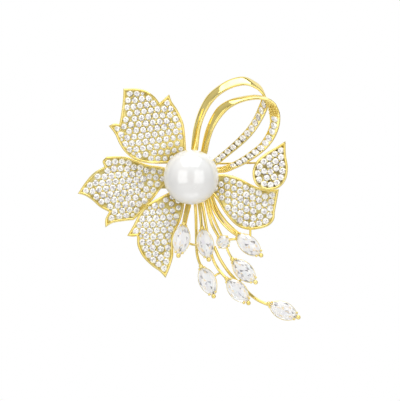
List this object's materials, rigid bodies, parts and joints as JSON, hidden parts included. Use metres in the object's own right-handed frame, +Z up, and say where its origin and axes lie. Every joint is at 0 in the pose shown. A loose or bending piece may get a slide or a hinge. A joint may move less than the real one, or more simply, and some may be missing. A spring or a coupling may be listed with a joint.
{
  "type": "brooch",
  "caption": "Flower brooch: pearl centre, pave petals, looped ribbon and a spray of marquise stones, with a hinged pin and a turning safety catch.",
  "frame": {"origin": "centre of the pin bar's flat rear face, which lies against the garment", "axes": "+Z up as worn, +X to the viewer's right, +Y from the front towards the garment"},
  "size_m": [0.0485, 0.0192, 0.0533],
  "materials": {
    "gold": "polished yellow gold plate",
    "crystal": "clear cut stone",
    "pearl": "white pearl lustre"
  },
  "bodies": {
    "brooch": {"petal_upper_left": "gold", "petal_left": "gold", "petal_lower_left": "gold", "petal_right": "gold", "petal_right_curl": "gold", "pearl_cup": "gold", "centre_plate": "gold", "ribbon_back": "gold", "ribbon_front": "gold", "marquise_1_setting": "gold", "marquise_2_setting": "gold", "marquise_3_setting": "gold", "marquise_4_setting": "gold", "marquise_5_setting": "gold", "marquise_6_setting": "gold", "marquise_7_setting": "gold", "round_setting": "gold", "stem_1": "gold", "stem_2": "gold", "stem_3": "gold", "stem_4": "gold", "stem_5": "gold", "stem_6": "gold", "stem_7": "gold", "stem_8": "gold", "stem_9": "gold", "strut_1": "gold", "strut_2": "gold", "strut_3": "gold", "strut_4": "gold", "strut_5": "gold", "strut_6": "gold", "curl_wire": "gold", "pin_bar": "gold", "hinge_bracket": "gold", "hinge_rivet": "gold", "catch_housing": "gold", "marquise_1_stone": "crystal", "marquise_2_stone": "crystal", "marquise_3_stone": "crystal", "marquise_4_stone": "crystal", "marquise_5_stone": "crystal", "marquise_6_stone": "crystal", "marquise_7_stone": "crystal", "round_stone": "crystal", "pearl": "pearl"},
    "pin": {"pin_stem": "gold"},
    "catch": {"catch_rotor": "gold"}
  },
  "joints": [
    {"name": "pin_hinge", "type": "hinge", "parent": "brooch", "child": "pin", "pos_m": [-0.0104, 0.003, 0], "axis": [0, 0, 1], "range_deg": [0, 80]},
    {"name": "catch_turn", "type": "hinge", "parent": "brooch", "child": "catch", "pos_m": [0.0104, 0.003, 0], "axis": [1, 0, 0], "range_deg": [0, 120]}
  ]
}
